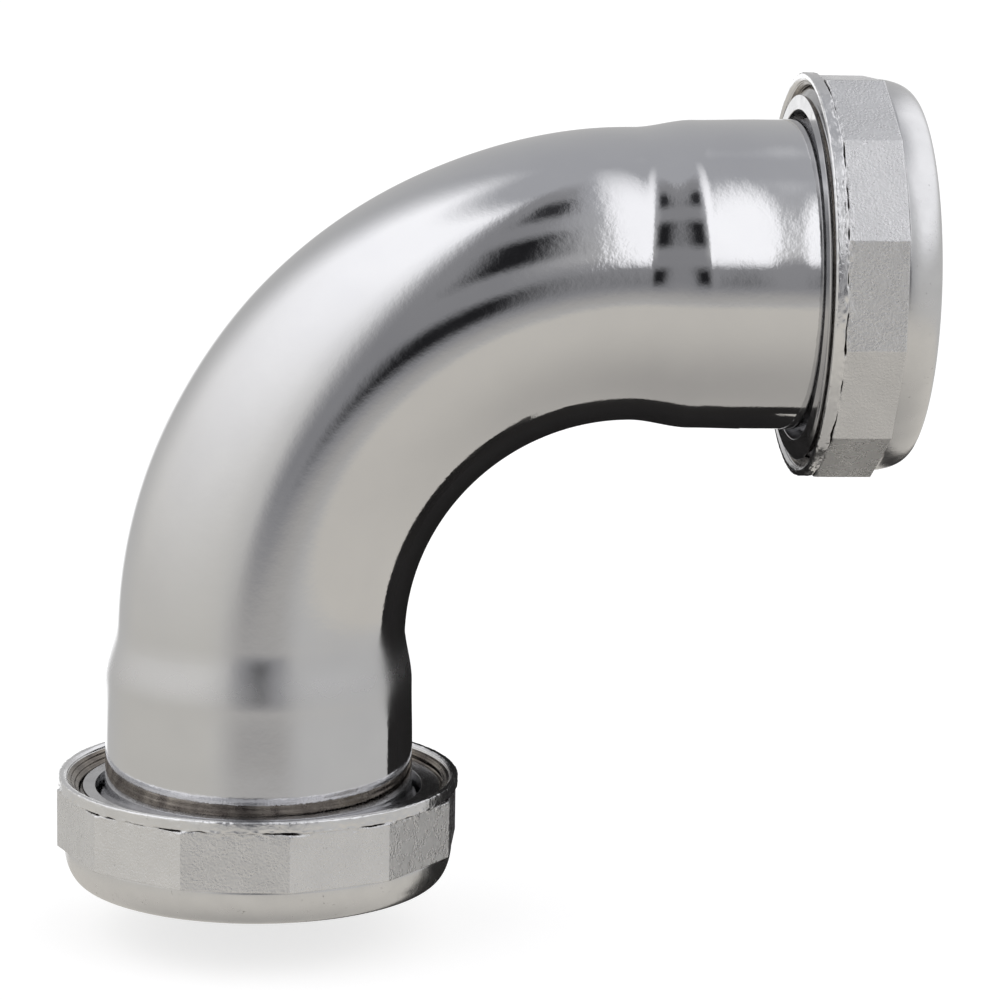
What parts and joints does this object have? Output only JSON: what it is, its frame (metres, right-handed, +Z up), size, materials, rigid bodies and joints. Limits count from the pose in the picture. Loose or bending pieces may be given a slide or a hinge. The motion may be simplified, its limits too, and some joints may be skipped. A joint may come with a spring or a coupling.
{
  "type": "compression fitting",
  "caption": "Right-angle chrome drain elbow. Each end has a bell for a pipe, a loose threaded ring, a bevelled washer, a friction ring and a faceted slip nut that seals the pipe.",
  "frame": {"origin": "on the lower leg's axis, in the outer face of the lower slip nut", "axes": "+Z up along the lower leg towards the bend, +X out along the side leg, +Y behind the plane of the bend"},
  "size_m": [0.1103, 0.0528, 0.1065],
  "materials": {
    "tube_chrome": "polished chrome plate on thin brass tube",
    "ring_metal": "machined and thinly plated brass",
    "nut_chrome": "satin chrome plate on a fine-grained die casting",
    "seal_rubber": "moulded black rubber",
    "friction_plastic": "thin natural nylon"
  },
  "bodies": {
    "elbow": {"elbow_tube": "tube_chrome"},
    "lower_ring": {"lower_threaded_ring": "ring_metal"},
    "lower_seal": {"lower_sealing_washer": "seal_rubber", "lower_friction_ring": "friction_plastic"},
    "lower_nut": {"lower_slip_nut": "nut_chrome"},
    "side_ring": {"side_threaded_ring": "ring_metal"},
    "side_seal": {"side_sealing_washer": "seal_rubber", "side_friction_ring": "friction_plastic"},
    "side_nut": {"side_slip_nut": "nut_chrome"}
  },
  "joints": [
    {"name": "lower_ring_spin", "type": "hinge", "parent": "elbow", "child": "lower_ring", "pos_m": [0, 0, 0.007], "axis": [0, 0, -1], "continuous": true},
    {"name": "lower_nut_travel", "type": "slide", "parent": "lower_ring", "child": "lower_seal", "axis": [0, 0, -1], "range_m": [-0.00055, 0.00663]},
    {"name": "lower_nut_turn", "type": "hinge", "parent": "lower_seal", "child": "lower_nut", "pos_m": [0, 0, 0.007], "axis": [0, 0, -1], "range_deg": [-90, 1080]},
    {"name": "side_ring_spin", "type": "hinge", "parent": "elbow", "child": "side_ring", "pos_m": [0.07, 0, 0.08015], "axis": [1, 0, 0], "continuous": true},
    {"name": "side_nut_travel", "type": "slide", "parent": "side_ring", "child": "side_seal", "axis": [1, 0, 0], "range_m": [-0.00255, 0.00464]},
    {"name": "side_nut_turn", "type": "hinge", "parent": "side_seal", "child": "side_nut", "pos_m": [0.07, 0, 0.08015], "axis": [1, 0, 0], "range_deg": [-415, 756]}
  ],
  "couplings": [
    {"joint": "lower_nut_travel", "follows": "lower_nut_turn", "m_per_rad": 0.00035152},
    {"joint": "side_nut_travel", "follows": "side_nut_turn", "m_per_rad": 0.00035152}
  ]
}
